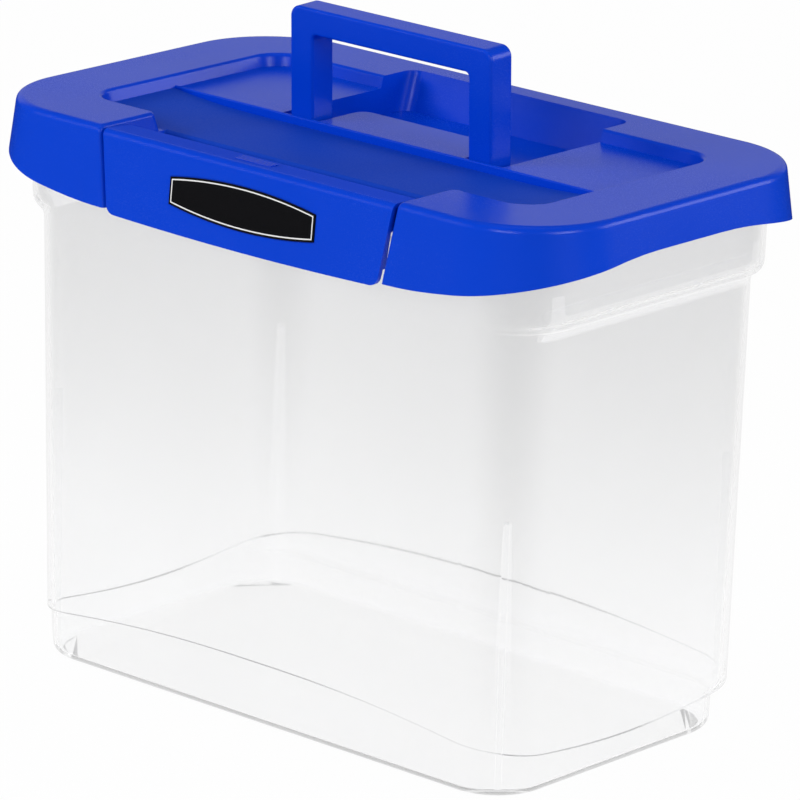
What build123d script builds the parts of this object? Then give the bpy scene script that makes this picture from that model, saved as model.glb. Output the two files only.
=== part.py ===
from build123d import *
import os
from math import cos, pi, radians, sin, tan

# Portable file box for letter-size hanging folders. All sizes are in millimetres.
# The origin is the middle of the base, +X runs along the length, the latch is on -Y, +Z is up.

# ---- Driving dimensions: tub ----
tub_height = 258.5
base_half_length = 154.7
base_half_depth = 89.6
wall_draft = 0.012
wall = 2.2
corner_radius = 30.0

foot_inset = 1.4
foot_draft = 0.038
foot_top = 34.0
foot_edge_radius = 5.0
rear_foot_setback = 10.2
ledge_step = 0.25
foot_hollow_top = 29.0
body_floor = 14.0
body_edge_radius = 9.0
step_middle_height = 32.0
step_end_height = 15.5
step_shape = 1.3

fin_top = 132.0
fin_reach = 6.3
fin_thickness = 3.0
fin_root = 14.0
fin_edge_radius = 1.2

collar_depth = 41.5
collar_shoulder_height = 12.0
collar_bulge = 7.7
collar_bands = 8
collar_shoulder = 0.08

rail_above_shoulder = 3.0
rail_half_length = 72.0
rail_thickness = 2.1
rail_gusset_places = (-31.0, 31.0)
rail_gusset_thickness = 2.0
rail_gusset_length = 11.0
rail_gusset_drop = 5.0
rail_edge_radius = 0.7
rail_root_depth = 5.0

flange_thickness = 2.5
flange_to_skirt = 1.3
flange_edge_radius = 0.6

# ---- Driving dimensions: lid ----
rim_rise = 17.0
rim_end_overhang = 23.0
rim_side_overhang = 12.4
rim_corner_radius = 49.0
rim_edge_radius = 3.5
skin = 2.4
flare_angle = 4.94
end_flare_angle = 10.0
skirt_depth = 38.2
skirt_end_depth = 18.7
skirt_ring_half_width = 8.5
skirt_rise_start = 88.0
skirt_rise_length = 152.0

recess_end_border = 38.5
recess_front_border = 37.7
recess_rear_border = 34.7
recess_depth = 6.0
recess_corner_radius = 16.0
recess_wall_slope = 0.27
recess_edge_radius = 2.0

ridge_width = 1.8
ridge_rise = 0.8
ridge_edge_radius = 0.8
panel_drop = 3.3
panel_end_drop = 0.1
panel_end_curve = 55.2
panel_front_border = 42.0
panel_edge_radius = 2.2

bay_depth = 14.2
bay_floor_thickness = 2.3
bay_front_border = 10.8
bay_top_half_width = 93.6
bay_bottom_half_width = 87.4
bay_corner_radius = 4.0

rib = 1.8
plug_depth = 4.5
plug_to_tub = 1.8
plug_rear_opening = 36.0
seat_gap = 0.3
rear_seat_places = (-130.0, -96.0, 96.0, 130.0)
front_seat_places = (-130.0, -110.0, 110.0, 130.0)
end_seat_places = (-48.0, -16.0, 16.0, 48.0)

# ---- Driving dimensions: rear hinge ----
hinge_behind_rim = 7.3
hinge_below_tub_rim = 23.5
hinge_places = (-76.0, 76.0)
pin_radius = 2.5
pin_clearance = 0.1
ear_radius = 4.4
ear_thickness = 3.0
ear_root_height = 15.0
knuckle_radius = 4.2
knuckle_width = 16.0
knuckle_mouth = 4.2
arm_height = 17.0
side_clearance = 0.4
hinge_notch_clearance = 0.8

# ---- Driving dimensions: carrying handle ----
handle_pivot_y = 2.9
handle_pivot_depth = 11.1
handle_lean = 1.9
handle_half_width = 63.3
handle_leg_width = 14.2
handle_bar_height = 12.8
handle_rise = 48.5
handle_depth = 15.0
handle_corner_radius = 5.5
handle_window_radius = 2.4
handle_edge_radius = 1.5
handle_skin = 2.4
handle_solid_foot = 11.0
handle_rib_spacing = 16.0
handle_rib = 1.6
handle_pin_radius = 3.0
handle_pin_reach = 1.8

well_tongue_clearance = 3.1
well_side_clearance = 6.1
well_tongue_rear = 27.5
well_floor_clearance = 0.6
well_rear_top_border = 13.5
well_rear_bottom_border = 19.5
well_corner_radius = 7.0
well_tongue_radius = 6.0
well_front_clearance = 0.4

# ---- Driving dimensions: latch and label ----
latch_gap = 2.0
latch_below_rim = 0.8
latch_reach = 40.0
latch_bottom_bow = 1.5
latch_top_depth = 17.5
latch_top_fall = 1.4
latch_edge_radius = 3.7
latch_corner_radius = 5.0
latch_pivot_inset = 13.0
latch_pivot_depth = 8.0
latch_boss_radius = 4.6
latch_pin_radius = 2.5
latch_pin_reach = 2.0
latch_plate_inset = 1.6
latch_plate_border = 0.7
latch_plate_depth = 35.5
latch_plate_clear_depth = 15.1
latch_inner_radius = 1.3
latch_rib_places = (-66.0, -44.0, -22.0, 0.0, 22.0, 44.0, 66.0)
latch_rib_depth = 15.5
hook_places = (-55.0, 55.0)
hook_width = 16.0
hook_below_tub_rim = 8.5
hook_depth = 0.7
hook_rise = 5.0
hook_land = 1.0

label_half_length = 45.6
label_half_height = 6.4
label_bow = 4.0
label_below_rim = 21.3
label_thickness = 0.8
label_recess = 0.3
label_margin = 0.4

# ---- Sizes worked out from the ones above ----
collar_start = tub_height - collar_depth
collar_full = collar_start + collar_shoulder_height
rail_top = collar_full + rail_above_shoulder
rail_gusset_top = rail_top - rail_gusset_drop
rail_root = collar_start - rail_root_depth
rim_top = tub_height + rim_rise
rim_half_length = base_half_length + rim_end_overhang
rim_half_depth = base_half_depth + rim_side_overhang
skirt_low = rim_top - skirt_depth
skirt_high = rim_top - skirt_end_depth
recess_half_length = rim_half_length - recess_end_border
recess_front = recess_front_border - rim_half_depth
recess_rear = rim_half_depth - recess_rear_border
panel_flat_half_length = recess_half_length - panel_end_curve
panel_front = panel_front_border - rim_half_depth
bay_floor = rim_top - bay_depth
bay_front = bay_front_border - rim_half_depth
plug_bottom = tub_height - plug_depth
plug_rear_end = rim_half_depth - plug_rear_opening
hinge_y = rim_half_depth + hinge_behind_rim
hinge_z = tub_height - hinge_below_tub_rim
arm_top = hinge_z + arm_height
handle_pivot_z = rim_top - handle_pivot_depth
handle_top = rim_top + handle_rise
well_slot_inner = handle_half_width - handle_leg_width - well_tongue_clearance
well_slot_outer = handle_half_width + well_side_clearance
handle_half_depth = handle_depth / 2
well_floor = handle_pivot_z - handle_half_depth - well_floor_clearance
well_rear_top = rim_half_depth - well_rear_top_border
well_rear_bottom = rim_half_depth - well_rear_bottom_border
latch_top = rim_top - latch_below_rim
latch_bottom = rim_top - latch_reach
latch_rear = latch_top_depth - rim_half_depth
latch_pivot_y = latch_pivot_inset - rim_half_depth
latch_pivot_z = rim_top - latch_pivot_depth
latch_end_plate = bay_bottom_half_width + latch_plate_inset
latch_plate_front = latch_plate_border - rim_half_depth
latch_plate_low = rim_top - latch_plate_depth
latch_plate_clear = rim_top - latch_plate_clear_depth
latch_rib_foot = rim_top - latch_rib_depth
hook_height = tub_height - hook_below_tub_rim
label_middle = rim_top - label_below_rim
reach = 2 * rim_half_length
flare = tan(radians(flare_angle))
end_flare = tan(radians(end_flare_angle))
skirt_bottom_growth = (rim_top - skirt_low) * flare
recess_floor = rim_top - recess_depth
recess_middle_y = (recess_front + recess_rear) / 2
recess_half_depth = (recess_rear - recess_front) / 2
panel_floor = recess_floor - panel_drop
well_front = handle_pivot_y - handle_half_depth - well_front_clearance
ridge_front = well_front - ridge_width
latch_lowest = latch_bottom - latch_bottom_bow
flange_bottom = tub_height - flange_thickness
seat_height = tub_height + seat_gap
bay_slope = (bay_top_half_width - bay_bottom_half_width) / (rim_top - skirt_low)


def half_length_at(height):
    """Half the tub's outer length at a height on its drafted wall."""
    return base_half_length + wall_draft * height


def half_depth_at(height):
    """Half the tub's outer depth at a height on its drafted wall."""
    return base_half_depth + wall_draft * height


def foot_half_length_at(height):
    """Half the foot's outer length at a height."""
    return half_length_at(foot_top) - foot_inset - (foot_top - height) * foot_draft


def foot_half_depth_at(height):
    """Half the foot's outer depth at a height, in front."""
    return half_depth_at(foot_top) - foot_inset - (foot_top - height) * foot_draft


def skirt_front_at(height):
    """Y of the skirt's flared front face at a height."""
    return -(rim_half_depth + (rim_top - height) * flare)


def lofted_block(sections):
    """Solid through rounded rectangles: (height, half length, half depth, corner radius, middle y)."""
    with BuildPart() as block:
        for height, half_length, half_depth, radius, middle_y in sections:
            with BuildSketch(Plane.XY.offset(height)):
                with Locations((0, middle_y)):
                    RectangleRounded(2 * half_length, 2 * half_depth, radius)
        loft(ruled=True)
    return block.part


def outline_point(half_length, half_depth, radius, distance, offset):
    """Point of a rounded rectangle's quarter, at a distance from the middle of its long side."""
    long_run = half_length - radius
    arc_run = radius * pi / 2
    if distance <= long_run:
        return distance, half_depth + offset
    if distance <= long_run + arc_run:
        turn = (distance - long_run) / radius
        swing = radius + offset
        return long_run + swing * sin(turn), half_depth - radius + swing * cos(turn)
    return half_length + offset, half_depth - radius - (distance - long_run - arc_run)


def under_wave(half_length, half_depth, radius, offsets, height_at, floor, steps=16):
    """Ring-shaped solid below a wavy edge that runs round a rounded rectangle."""
    quarter = half_length - radius + radius * pi / 2 + half_depth - radius
    marks = [quarter * step / steps for step in range(steps + 1)]
    loops = []
    for offset in offsets:
        corner = [
            (*outline_point(half_length, half_depth, radius, mark, offset), height_at(mark, quarter))
            for mark in marks
        ]
        right_rear = corner
        right_front = [(x, -y, z) for x, y, z in reversed(corner[:-1])]
        left_front = [(-x, -y, z) for x, y, z in corner[1:]]
        left_rear = [(-x, y, z) for x, y, z in reversed(corner[1:-1])]
        loops.append(Edge.make_spline(right_rear + right_front + left_front + left_rear, periodic=True))
    return extrude(Face.make_surface_from_curves(*loops), amount=floor, dir=(0, 0, -1))


def skirt_edge_height(distance, quarter):
    """Height of the lid skirt's lower edge: low on the long sides, arched up on the ends."""
    share = min(max((distance - skirt_rise_start) / skirt_rise_length, 0.0), 1.0)
    return skirt_low + (skirt_high - skirt_low) * (1 - cos(pi * share)) / 2


def step_edge_height(distance, quarter):
    """Height of the tub's wavy foot line: high in the middle of the long sides."""
    share = (distance / quarter) ** step_shape
    return step_end_height + (step_middle_height - step_end_height) * (1 + cos(pi * share)) / 2


def tub_section(height, inset, bulge=0.0):
    """Section of the tub's body, set in by a wall and stretched at the ends by the collar."""
    half_length = half_length_at(height) - inset + bulge
    return height, half_length, half_depth_at(height) - inset, corner_radius - inset, 0.0


def foot_section(height, inset, rear_setback):
    """Section of the tub's foot, whose rear wall stands in from the body's."""
    front = -(foot_half_depth_at(height) - inset)
    rear = half_depth_at(body_floor) - rear_setback - inset
    half_length = foot_half_length_at(height) - inset
    return height, half_length, (rear - front) / 2, corner_radius - foot_inset - inset, (rear + front) / 2


def collar_sections(inset, lift):
    """Sections of the swelling under the tub's rim, an S-shaped shoulder on the short ends."""
    sections = []
    for band in range(collar_bands + 1):
        share = band / collar_bands
        rise = share + collar_shoulder * sin(2 * pi * share)
        height = collar_start + lift + (collar_full - collar_start) * rise
        sections.append(tub_section(height, inset, collar_bulge * (1 - cos(pi * share)) / 2))
    sections.append(tub_section(tub_height, inset, collar_bulge))
    return sections


def skirt_section(height, inset):
    """Section of the lid's flared skirt, set in by a wall."""
    end_growth = (rim_top - height) * end_flare - inset
    side_growth = (rim_top - height) * flare - inset
    radius = rim_corner_radius + (end_growth + side_growth) / 2
    return height, rim_half_length + end_growth, rim_half_depth + side_growth, radius, 0.0


def recess_section(height):
    """Section of the recess in the lid's top, whose walls lean outwards up to the rim."""
    lean = (height - rim_top) * recess_wall_slope
    half_depth = recess_half_depth + lean
    return height, recess_half_length + lean, half_depth, recess_corner_radius + lean, recess_middle_y


def bay_half_width_at(height):
    """Half the width of the latch's cut in the lid at a height."""
    return bay_top_half_width - (rim_top - height) * bay_slope


def upright_rib(centre_x, centre_y, turn, length, thickness, bottom, top, top_radius):
    """Standing plate with a rounded top, turned about the vertical."""
    along = (cos(turn), sin(turn), 0)
    plate_plane = Plane(origin=(centre_x, centre_y, 0), x_dir=along, z_dir=(sin(turn), -cos(turn), 0))
    with BuildPart() as plate:
        with BuildSketch(plate_plane):
            with Locations((0, (bottom + top) / 2)):
                Rectangle(length, top - bottom)
        extrude(amount=thickness / 2, both=True)
        fillet(plate.edges().group_by(Axis.Z)[-1], top_radius)
    return plate.part


# ---- Tub ----
body_block = lofted_block([tub_section(body_floor, 0), tub_section(collar_start, 0)])
ledge_block = lofted_block(
    [foot_section(body_floor, ledge_step, foot_inset), foot_section(foot_top, ledge_step, foot_inset)]
)
foot_block = lofted_block(
    [foot_section(0, 0, rear_foot_setback), foot_section(foot_top, 0, rear_foot_setback)]
)
collar_block = lofted_block(collar_sections(0, 0))
body_hollow = lofted_block(
    [tub_section(body_floor + wall, wall + foot_inset), tub_section(collar_start + wall, wall)]
)
foot_hollow = lofted_block(
    [foot_section(wall, wall, rear_foot_setback), foot_section(foot_hollow_top, wall, rear_foot_setback)]
)
collar_hollow = lofted_block(collar_sections(wall, wall))
foot_step_ring = under_wave(
    half_length_at(foot_top),
    half_depth_at(foot_top),
    corner_radius,
    (-2 * body_edge_radius, wall),
    step_edge_height,
    foot_top,
)
flange_inset = skin + flange_to_skirt
flange_section = skirt_section(flange_bottom, flange_inset)

# Four ribs stand in the tub's inner corners, and a rail for folder hooks runs along each short end.
fin_places = []
for side_x in (1, -1):
    for side_y in (1, -1):
        turn = pi / 4 * (1 if side_x * side_y > 0 else -1)
        distance = corner_radius - wall - fin_reach + fin_root / 2
        centre_x = side_x * (half_length_at(fin_top) - corner_radius + distance * cos(pi / 4))
        centre_y = side_y * (half_depth_at(fin_top) - corner_radius + distance * sin(pi / 4))
        fin_places.append((centre_x, centre_y, turn))
fins = [
    upright_rib(x, y, turn, fin_root, fin_thickness, 0, fin_top, fin_edge_radius) for x, y, turn in fin_places
]
rail_x = half_length_at(collar_start) - rail_thickness / 2
rail_shape = (pi / 2, 2 * rail_half_length, rail_thickness, rail_root, rail_top, rail_edge_radius)
rails = [upright_rib(side * rail_x, 0, *rail_shape) for side in (1, -1)]
gusset_x = rail_x + rail_gusset_length / 2
gusset_shape = (
    0, rail_gusset_length, rail_gusset_thickness, rail_root, rail_gusset_top, rail_edge_radius
)
gussets = [
    upright_rib(side * gusset_x, y, *gusset_shape) for side in (1, -1) for y in rail_gusset_places
]

with BuildPart() as ledge:
    add(ledge_block)
    fillet(ledge.edges().group_by(Axis.Z)[0], body_edge_radius)

with BuildPart() as foot:
    add(foot_block)
    fillet(foot.edges().group_by(Axis.Z)[0], foot_edge_radius)

with BuildPart() as hollow:
    add(body_hollow)
    fillet(hollow.edges().group_by(Axis.Z)[0], body_edge_radius - wall)
    add(collar_hollow)
    add(fins + rails + gussets, mode=Mode.SUBTRACT)

with BuildPart() as pocket:
    add(foot_hollow)
    fillet(pocket.edges().group_by(Axis.Z)[0], foot_edge_radius - wall)
    add(fins, mode=Mode.SUBTRACT)

with BuildPart() as tub:
    add(body_block)
    add(foot_step_ring, mode=Mode.SUBTRACT)
    add(ledge.part)
    add(foot.part)
    add(collar_block)
    # Flange that carries the lid
    with BuildSketch(Plane.XY.offset(flange_bottom)):
        RectangleRounded(2 * flange_section[1], 2 * flange_section[2], flange_section[3])
    extrude(amount=flange_thickness)
    fillet(tub.edges().group_by(Axis.Z)[-1], flange_edge_radius)
    # Hinge ears in pairs, with a pin moulded between each pair
    for place in hinge_places:
        for side in (1, -1):
            ear_middle = place + side * (knuckle_width + ear_thickness + 2 * side_clearance) / 2
            with BuildSketch(Plane.YZ.offset(ear_middle)):
                with BuildLine():
                    wall_y = half_depth_at(hinge_z) - wall / 2
                    Polyline(
                        (wall_y, hinge_z + ear_radius),
                        (hinge_y, hinge_z + ear_radius),
                        (hinge_y, hinge_z - ear_radius),
                        (wall_y, hinge_z + ear_radius - ear_root_height),
                        close=True,
                    )
                make_face()
                with Locations((hinge_y, hinge_z)):
                    Circle(ear_radius)
            extrude(amount=ear_thickness / 2, both=True)
        with BuildSketch(Plane.YZ.offset(place)):
            with Locations((hinge_y, hinge_z)):
                Circle(pin_radius)
        extrude(amount=knuckle_width / 2 + ear_thickness, both=True)
    add(hollow.part, mode=Mode.SUBTRACT)
    add(pocket.part, mode=Mode.SUBTRACT)
tub.part.label = "tub"

# ---- Lid ----
lid_outside = lofted_block([skirt_section(skirt_low - skin, 0), skirt_section(rim_top, 0)])
lid_hollow = lofted_block([skirt_section(skirt_low - 2 * skin, skin), skirt_section(rim_top - skin, skin)])
middle_growth = skirt_bottom_growth / 2
skirt_ring = under_wave(
    rim_half_length + middle_growth,
    rim_half_depth + middle_growth,
    rim_corner_radius + middle_growth,
    (-skirt_ring_half_width, skirt_ring_half_width),
    skirt_edge_height,
    rim_top - skirt_low,
)
well_half_depths = [(rear - well_front) / 2 for rear in (well_rear_bottom, well_rear_top)]
plug_half_length = half_length_at(tub_height) + collar_bulge - wall - plug_to_tub
plug_half_depth = half_depth_at(tub_height) - wall - plug_to_tub
plug_radius = corner_radius - wall - plug_to_tub
recess_block = lofted_block([recess_section(recess_floor), recess_section(rim_top + skin)])
panel_block = lofted_block([recess_section(panel_floor - panel_drop), recess_section(rim_top)])
rib_top = rim_top - skin / 2
rib_end = skin / 4

# The well's cavity for the handle: two slots and a cross part round a tongue
with BuildPart() as well:
    for height, half_depth in zip((well_floor, rim_top), well_half_depths):
        with BuildSketch(Plane.XY.offset(height)) as outline:
            with Locations((0, well_front + half_depth)):
                Rectangle(2 * well_slot_outer, 2 * half_depth)
            fillet(outline.vertices().group_by(Axis.Y)[-1], well_corner_radius)
    loft(ruled=True)
    with BuildSketch(Plane.XY.offset(well_floor)) as tongue:
        with Locations((0, (well_front + well_tongue_rear) / 2)):
            Rectangle(2 * well_slot_inner, well_tongue_rear - well_front)
        fillet(tongue.vertices().group_by(Axis.Y)[-1], well_tongue_radius)
    extrude(amount=recess_floor - well_floor, mode=Mode.SUBTRACT)

# The same well with its walls round it
with BuildPart() as well_walls:
    for height, half_depth in zip((well_floor - skin, rim_top - skin / 2), well_half_depths):
        with BuildSketch(Plane.XY.offset(height)) as outline:
            with Locations((0, well_front + half_depth)):
                Rectangle(2 * (well_slot_outer + skin), 2 * (half_depth + skin))
            fillet(outline.vertices().group_by(Axis.Y)[-1], well_corner_radius + skin)
    loft(ruled=True)
    with BuildSketch(Plane.XY.offset(well_floor - skin)):
        with Locations((0, (well_front + well_tongue_rear) / 2 - skin)):
            Rectangle(2 * (well_slot_inner - skin), well_tongue_rear - well_front)
    extrude(amount=recess_floor - well_floor, mode=Mode.SUBTRACT)

# The lowered front panel of the recess, whose ends curve up
with BuildPart() as panel:
    add(panel_block)
    with BuildSketch(Plane.XZ.offset(-ridge_front)):
        with BuildLine():
            lifted = recess_floor - panel_end_drop
            flat = Line((-panel_flat_half_length, panel_floor), (panel_flat_half_length, panel_floor))
            right = TangentArc(flat @ 1, (recess_half_length, lifted), tangent=(1, 0))
            left = TangentArc(flat @ 0, (-recess_half_length, lifted), tangent=(-1, 0))
            Polyline(right @ 1, (recess_half_length, rim_top), (-recess_half_length, rim_top), left @ 1)
        make_face()
    extrude(amount=ridge_front - recess_front, mode=Mode.INTERSECT)

# The bead that runs along the back of the lowered panel
with BuildPart() as bead:
    with BuildSketch(Plane.YZ):
        with Locations((well_front - ridge_width / 2, (panel_floor + recess_floor + ridge_rise) / 2)):
            Rectangle(ridge_width, recess_floor + ridge_rise - panel_floor)
    extrude(amount=recess_half_length + skin / 2, both=True)
    fillet(bead.edges().filter_by(Axis.X).group_by(Axis.Z)[-1], ridge_edge_radius)

# Everything under the lid's top: pan, well, latch bay, locating rib and seat ribs
with BuildPart() as inside:
    with BuildSketch(Plane.XY.offset(recess_floor - skin)):
        with Locations((0, recess_middle_y)):
            RectangleRounded(
                2 * (recess_half_length + skin), 2 * (recess_half_depth + skin), recess_corner_radius + skin
            )
    extrude(amount=recess_depth)
    with BuildSketch(Plane.XY.offset(panel_floor - skin)):
        with Locations((0, recess_middle_y)):
            RectangleRounded(
                2 * (recess_half_length + skin), 2 * (recess_half_depth + skin), recess_corner_radius + skin
            )
        with Locations((0, well_front + skin + reach / 2)):
            Rectangle(reach, reach, mode=Mode.SUBTRACT)
    extrude(amount=panel_drop + skin)
    add(well_walls.part)
    with BuildSketch(Plane.XY.offset(bay_floor - bay_floor_thickness)):
        with Locations((0, (panel_front + skin + bay_front) / 2)):
            Rectangle(2 * (bay_half_width_at(bay_floor) + skin), panel_front + skin - bay_front)
    extrude(amount=panel_floor - bay_floor)
    # Closed ends of the latch's cut
    bay_wall_bottom = bay_half_width_at(seat_height)
    bay_wall_top = bay_half_width_at(rib_top)
    with BuildSketch(Plane.XZ.offset(-(panel_front + skin))):
        for side in (1, -1):
            with BuildLine():
                Polyline(
                    (side * (bay_wall_bottom - rib), seat_height),
                    (side * (bay_wall_bottom + skin), seat_height),
                    (side * (bay_wall_top + skin), rib_top),
                    (side * (bay_wall_top - rib), rib_top),
                    close=True,
                )
            make_face()
    extrude(amount=panel_front + skin - skirt_front_at(rim_top) - rib_end)
    # Locating rib that stands inside the tub's rim
    with BuildSketch(Plane.XY.offset(plug_bottom)):
        RectangleRounded(2 * plug_half_length, 2 * plug_half_depth, plug_radius)
        RectangleRounded(
            2 * (plug_half_length - rib), 2 * (plug_half_depth - rib), plug_radius - rib, mode=Mode.SUBTRACT
        )
        with Locations((0, plug_rear_end + reach / 2)):
            Rectangle(reach, reach, mode=Mode.SUBTRACT)
    extrude(amount=rib_top - plug_bottom)
    # Seat ribs over the tub's flange
    with BuildSketch(Plane.XY.offset(seat_height)):
        seat_depth = rim_half_depth - rib_end - plug_half_depth + rib / 2
        for side, places in ((1, rear_seat_places), (-1, front_seat_places)):
            for place in places:
                with Locations((place, side * (rim_half_depth - rib_end - seat_depth / 2))):
                    Rectangle(rib, seat_depth)
        seat_length = rim_half_length - rib_end - plug_half_length + rib / 2
        for side in (1, -1):
            for place in end_seat_places:
                with Locations((side * (rim_half_length - rib_end - seat_length / 2), place)):
                    Rectangle(seat_length, rib)
    extrude(amount=rib_top - seat_height)

with BuildPart() as lid:
    add(lid_outside)
    fillet(lid.edges().group_by(Axis.Z)[-1], rim_edge_radius)
    add(lid_hollow, mode=Mode.SUBTRACT)
    add(inside.part)
    add(skirt_ring, mode=Mode.SUBTRACT)
    add(recess_block, mode=Mode.SUBTRACT)
    add(bead.part)
    add(panel.part, mode=Mode.SUBTRACT)
    add(well.part, mode=Mode.SUBTRACT)
    # Front cut for the latch, open down to the tub's rim ahead of the bay
    with BuildSketch(Plane.XZ.offset(-panel_front)):
        with BuildLine():
            Polyline(
                (-bay_half_width_at(bay_floor), bay_floor),
                (bay_half_width_at(bay_floor), bay_floor),
                (bay_half_width_at(rim_top + skin), rim_top + skin),
                (-bay_half_width_at(rim_top + skin), rim_top + skin),
                close=True,
            )
        make_face()
    extrude(amount=panel_front - bay_front, mode=Mode.SUBTRACT)
    with BuildSketch(Plane.XZ.offset(-bay_front)):
        with BuildLine():
            Polyline(
                (-bay_half_width_at(skirt_low - skin), skirt_low - skin),
                (bay_half_width_at(skirt_low - skin), skirt_low - skin),
                (bay_half_width_at(rim_top + skin), rim_top + skin),
                (-bay_half_width_at(rim_top + skin), rim_top + skin),
                close=True,
            )
        make_face()
    extrude(amount=reach, mode=Mode.SUBTRACT)
    # Rounded corners between the cut and the recess, and a rounded lip round the whole opening
    corner_y = recess_front - (recess_floor - rim_top) * recess_wall_slope
    cut_corners = [
        lid.edges().sort_by_distance((side * bay_half_width_at(recess_floor), corner_y, recess_floor))[0]
        for side in (1, -1)
    ]
    fillet(cut_corners, bay_corner_radius)
    top_edges = lid.edges().filter_by_position(Axis.Z, rim_top - 0.01, rim_top + 0.01)
    recess_lip = top_edges.filter_by_position(Axis.Y, rim_edge_radius - rim_half_depth, recess_rear + 1)
    fillet(recess_lip, recess_edge_radius)
    # Rounded front edge of the lowered panel
    panel_lip = lid.edges().filter_by(Axis.X)
    panel_lip = panel_lip.filter_by_position(Axis.Y, panel_front - 0.01, panel_front + 0.01)
    fillet(panel_lip.group_by(Axis.Z)[-1], panel_edge_radius)
    # Holes for the handle's and the latch's pins
    for side in (1, -1):
        with BuildSketch(Plane.YZ.offset(side * (well_slot_outer + skin / 2))):
            with Locations((handle_pivot_y, handle_pivot_z)):
                Circle(handle_pin_radius + pin_clearance)
        extrude(amount=skin, both=True, mode=Mode.SUBTRACT)
        with BuildSketch(Plane.YZ.offset(side * (bay_half_width_at(latch_pivot_z) + skin / 2))):
            with Locations((latch_pivot_y, latch_pivot_z)):
                Circle(latch_pin_radius + pin_clearance)
        extrude(amount=skin, both=True, mode=Mode.SUBTRACT)
    # Rear hinge: a notch round each pair of ears, and an open knuckle between them
    for place in hinge_places:
        notch_width = knuckle_width + 2 * (ear_thickness + 2 * side_clearance)
        notch_top = hinge_z + ear_radius + hinge_notch_clearance
        with BuildSketch(Plane.XY.offset(notch_top)):
            with Locations((place, rim_half_depth)):
                Rectangle(notch_width, 2 * (skirt_bottom_growth + skin))
        extrude(amount=-reach, mode=Mode.SUBTRACT)
        with BuildSketch(Plane.YZ.offset(place)):
            with BuildLine():
                skirt_y = -skirt_front_at(arm_top)
                Polyline(
                    (skirt_y - skin / 2, arm_top),
                    (skirt_y, arm_top),
                    (hinge_y + knuckle_radius, hinge_z),
                    (hinge_y, hinge_z + pin_radius),
                    (-skirt_front_at(notch_top) - skin, notch_top),
                    close=True,
                )
            make_face()
            with Locations((hinge_y, hinge_z)):
                Circle(knuckle_radius)
                Circle(pin_radius + pin_clearance, mode=Mode.SUBTRACT)
            with Locations((hinge_y - knuckle_radius, hinge_z)):
                Rectangle(2 * knuckle_radius, knuckle_mouth, mode=Mode.SUBTRACT)
        extrude(amount=knuckle_width / 2, both=True)
lid.part.label = "lid"

# ---- Handle ----
lean = radians(handle_lean)
handle_plane = Plane(
    origin=(0, handle_pivot_y, handle_pivot_z), x_dir=(1, 0, 0), z_dir=(0, -cos(lean), -sin(lean))
)
handle_height = (handle_top - handle_pivot_z) / cos(lean)
handle_inner = handle_half_width - handle_leg_width
bar_underside = handle_height - handle_bar_height
channel_top = handle_height - handle_skin
channel_outer = handle_half_width - handle_skin
channel_inner = handle_inner + handle_skin
bar_ribs = int(channel_outer / handle_rib_spacing)
leg_ribs = int((channel_top - handle_solid_foot) / handle_rib_spacing)

with BuildPart() as handle:
    with BuildSketch(handle_plane) as bow:
        with Locations((0, handle_height / 2)):
            Rectangle(2 * handle_half_width, handle_height)
        fillet(bow.vertices().group_by(Axis.Y)[-1], handle_corner_radius)
        with BuildSketch(mode=Mode.SUBTRACT) as window:
            with Locations((0, bar_underside / 2 - handle_window_radius)):
                Rectangle(2 * handle_inner, bar_underside + 2 * handle_window_radius)
            fillet(window.vertices().group_by(Axis.Y)[-1], handle_window_radius)
    extrude(amount=handle_half_depth, both=True)
    for side in (1, -1):
        with BuildSketch(Plane.YZ.offset(side * (handle_half_width - handle_leg_width / 2))):
            with Locations((handle_pivot_y, handle_pivot_z)):
                Circle(handle_half_depth)
        extrude(amount=handle_leg_width / 2, both=True)
    across = Axis(handle_plane.origin, handle_plane.z_dir)
    outline = handle.faces().filter_by(across).edges()
    lowest = handle_pivot_z + handle_edge_radius
    outline = outline.filter_by_position(Axis.Z, lowest, handle_top + handle_edge_radius)
    foot_arcs = handle.faces().filter_by(Axis.X).edges().filter_by(GeomType.CIRCLE)
    foot_arcs = foot_arcs.filter_by_position(Axis.Z, handle_pivot_z - handle_depth, handle_pivot_z)
    fillet(outline + foot_arcs, handle_edge_radius)
    # Channel open to the rear, with cross ribs left standing in it
    with BuildSketch(handle_plane.offset(-handle_half_depth)):
        with Locations((0, (channel_top + handle_solid_foot) / 2)):
            Rectangle(2 * channel_outer, channel_top - handle_solid_foot)
        with Locations((0, (bar_underside + handle_skin) / 2)):
            Rectangle(2 * channel_inner, bar_underside + handle_skin, mode=Mode.SUBTRACT)
        for rib_number in range(-bar_ribs, bar_ribs + 1):
            with Locations((rib_number * handle_rib_spacing, handle_height)):
                Rectangle(handle_rib, 2 * handle_bar_height, mode=Mode.SUBTRACT)
        for rib_number in range(1, leg_ribs + 1):
            with Locations((0, handle_solid_foot + rib_number * handle_rib_spacing)):
                Rectangle(2 * handle_half_width, handle_rib, mode=Mode.SUBTRACT)
    extrude(amount=handle_depth - handle_skin, mode=Mode.SUBTRACT)
    # Pins moulded on the feet
    for side in (1, -1):
        pin_end = well_slot_outer + handle_pin_reach
        with BuildSketch(Plane.YZ.offset(side * (handle_half_width - handle_skin))):
            with Locations((handle_pivot_y, handle_pivot_z)):
                Circle(handle_pin_radius)
        extrude(amount=side * (pin_end - handle_half_width + handle_skin))
handle.part.label = "handle"

# ---- Label ----
face_turn = radians(flare_angle)
label_plane = Plane(
    origin=(0, skirt_front_at(label_middle), label_middle),
    x_dir=(1, 0, 0),
    z_dir=(0, -cos(face_turn), sin(face_turn)),
)


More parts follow.
